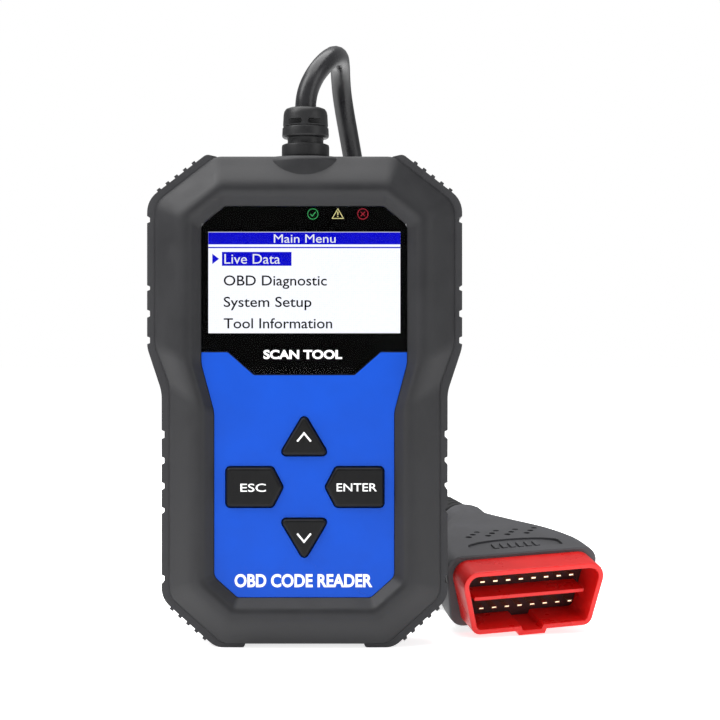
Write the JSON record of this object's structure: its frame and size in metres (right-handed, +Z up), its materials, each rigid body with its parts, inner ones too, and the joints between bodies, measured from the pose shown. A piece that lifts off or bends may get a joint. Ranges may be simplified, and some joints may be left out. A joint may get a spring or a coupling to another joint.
{
  "type": "obd code reader",
  "caption": "Handheld vehicle fault-code reader with colour display, four-key pad, rubber side grips and a coiled lead ending in a diagnostic plug.",
  "frame": {"origin": "middle of the footprint of the standing unit, on the surface under its grips", "axes": "+Z up along the unit's height, +X to the right across its face, +Y from its face to its back"},
  "size_m": [0.132, 0.1386, 0.1742],
  "materials": {
    "case_abs": "fine moulded texture",
    "grip_tpe": "soft matte",
    "blue_abs": "satin",
    "lens_acrylic": "gloss",
    "mask_ink": "printed",
    "lcd_glass": "lit white",
    "white_plastic": "satin",
    "flex_polyimide": "satin",
    "key_plastic": "satin",
    "silicone": "matte",
    "spring_steel": "bright",
    "circuit_board": "solder mask",
    "chip_epoxy": "matte",
    "capacitor_can": "satin",
    "led_green": "clear tint",
    "led_amber": "clear tint",
    "led_red": "clear tint",
    "light_guide": "clear",
    "connector_nylon": "satin",
    "wire_pvc": "satin",
    "screw_steel": "zinc plated",
    "label_film": "blank film",
    "boot_pvc": "satin",
    "cord_pvc": "satin",
    "tie_nylon": "woven",
    "plug_pvc": "matte",
    "shroud_red": "satin",
    "pin_brass": "tinned"
  },
  "bodies": {
    "housing": {"front_cover": "case_abs", "rear_cover": "case_abs", "left_grip": "grip_tpe", "right_grip": "grip_tpe", "face_panel": "blue_abs", "display_lens": "lens_acrylic", "lens_mask": "mask_ink", "lcd_glass": "lcd_glass", "lcd_frame": "white_plastic", "backlight": "white_plastic", "lcd_flex": "flex_polyimide", "keypad_mat": "silicone", "snap_domes": "spring_steel", "main_board": "circuit_board", "main_chip": "chip_epoxy", "support_chips": "chip_epoxy", "capacitors": "capacitor_can", "crystal": "spring_steel", "buzzer": "chip_epoxy", "led_ok": "led_green", "led_warning": "led_amber", "led_fault": "led_red", "led_light_guide": "light_guide", "header_socket": "connector_nylon", "harness_plug": "connector_nylon", "harness_wires": "wire_pvc", "board_screws": "screw_steel", "case_screws": "screw_steel", "rear_label": "label_film", "cable_boot": "boot_pvc", "cable_tail": "cord_pvc", "cable_run_unit": "cord_pvc", "cable_coil": "cord_pvc", "coil_tie": "tie_nylon", "cable_run_plug": "cord_pvc", "plug_boot": "boot_pvc", "plug_tail": "cord_pvc", "plug_grip": "plug_pvc", "pin_carrier": "chip_epoxy", "plug_shroud": "shroud_red", "plug_pins": "pin_brass"},
    "key_up_body": {"key_up": "key_plastic"},
    "key_down_body": {"key_down": "key_plastic"},
    "key_esc_body": {"key_esc": "key_plastic"},
    "key_enter_body": {"key_enter": "key_plastic"}
  },
  "joints": [
    {"name": "key_up_press", "type": "slide", "parent": "housing", "child": "key_up_body", "axis": [0, 1, 0], "range_m": [0, 0.0008], "stiffness_N_per_m": 600},
    {"name": "key_down_press", "type": "slide", "parent": "housing", "child": "key_down_body", "axis": [0, 1, 0], "range_m": [0, 0.0008], "stiffness_N_per_m": 600},
    {"name": "key_esc_press", "type": "slide", "parent": "housing", "child": "key_esc_body", "axis": [0, 1, 0], "range_m": [0, 0.0008], "stiffness_N_per_m": 600},
    {"name": "key_enter_press", "type": "slide", "parent": "housing", "child": "key_enter_body", "axis": [0, 1, 0], "range_m": [0, 0.0008], "stiffness_N_per_m": 600}
  ]
}
